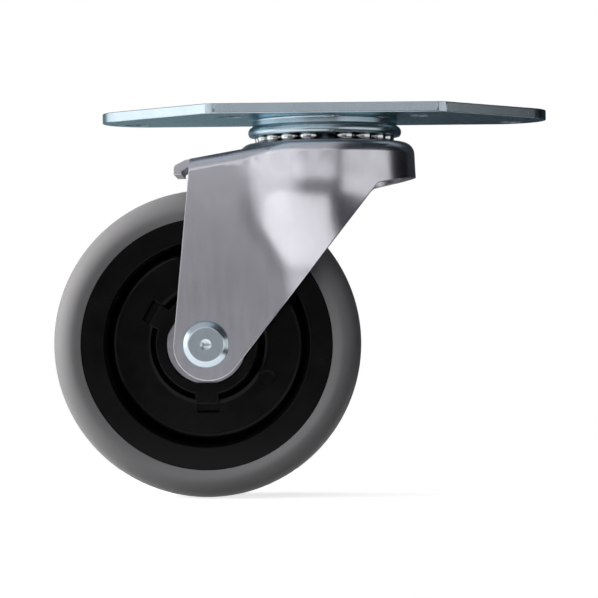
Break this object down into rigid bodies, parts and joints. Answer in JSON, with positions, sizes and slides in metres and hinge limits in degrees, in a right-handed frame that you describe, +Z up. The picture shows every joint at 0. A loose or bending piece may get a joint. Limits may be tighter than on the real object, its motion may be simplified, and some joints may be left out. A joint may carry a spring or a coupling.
{
  "type": "swivel castor",
  "caption": "Swivel castor with a bolt-down corner plate, a ball-race swivel, a pressed steel fork and a rubber-tyred wheel on ball bearings.",
  "frame": {"origin": "on the swivel axis, at the plate's top face", "axes": "+Z up out of the plate's top face, -X towards the trailing wheel, +Y along the wheel's axle towards the plate's long side"},
  "size_m": [0.1604, 0.0625, 0.1246],
  "materials": {
    "plate_zinc": "bright blue zinc plating",
    "fork_zinc": "bright zinc plating",
    "rivet_zinc": "bright zinc plating",
    "pin_zinc": "zinc plating",
    "ball_steel": "polished",
    "ring_steel": "ground",
    "shield_steel": "pressed",
    "cage_plastic": "moulded",
    "core_plastic": "moulded, satin",
    "tyre_rubber": "moulded, matt"
  },
  "bodies": {
    "plate_side": {"top_plate": "plate_zinc", "kingpin": "pin_zinc", "lower_race": "pin_zinc"},
    "upper_ball_row": {"upper_balls": "ball_steel"},
    "lower_ball_row": {"lower_balls": "ball_steel"},
    "fork_side": {"fork": "fork_zinc", "axle_rivet": "rivet_zinc", "distance_tube": "pin_zinc", "near_bearing_inner_ring": "ring_steel", "far_bearing_inner_ring": "ring_steel"},
    "bearing_ball_sets": {"near_bearing_balls": "ball_steel", "near_bearing_cage": "cage_plastic", "far_bearing_balls": "ball_steel", "far_bearing_cage": "cage_plastic"},
    "wheel": {"wheel_core": "core_plastic", "tyre": "tyre_rubber", "near_bearing_outer_ring": "ring_steel", "near_bearing_shield": "shield_steel", "far_bearing_outer_ring": "ring_steel", "far_bearing_shield": "shield_steel"}
  },
  "joints": [
    {"name": "swivel", "type": "hinge", "parent": "plate_side", "child": "fork_side", "pos_m": [0, 0, 0], "axis": [0, 0, 1], "continuous": true},
    {"name": "wheel_spin", "type": "hinge", "parent": "fork_side", "child": "wheel", "pos_m": [-0.0383, 0, -0.0751], "axis": [0, 1, 0], "continuous": true},
    {"name": "upper_ball_orbit", "type": "hinge", "parent": "plate_side", "child": "upper_ball_row", "pos_m": [0, 0, 0], "axis": [0, 0, 1], "continuous": true},
    {"name": "lower_ball_orbit", "type": "hinge", "parent": "plate_side", "child": "lower_ball_row", "pos_m": [0, 0, 0], "axis": [0, 0, 1], "continuous": true},
    {"name": "bearing_ball_orbit", "type": "hinge", "parent": "fork_side", "child": "bearing_ball_sets", "pos_m": [-0.0383, 0, -0.0751], "axis": [0, 1, 0], "continuous": true}
  ],
  "couplings": [
    {"joint": "upper_ball_orbit", "follows": "swivel", "ratio": 0.5},
    {"joint": "lower_ball_orbit", "follows": "swivel", "ratio": 0.5},
    {"joint": "bearing_ball_orbit", "follows": "wheel_spin", "ratio": 0.632}
  ]
}
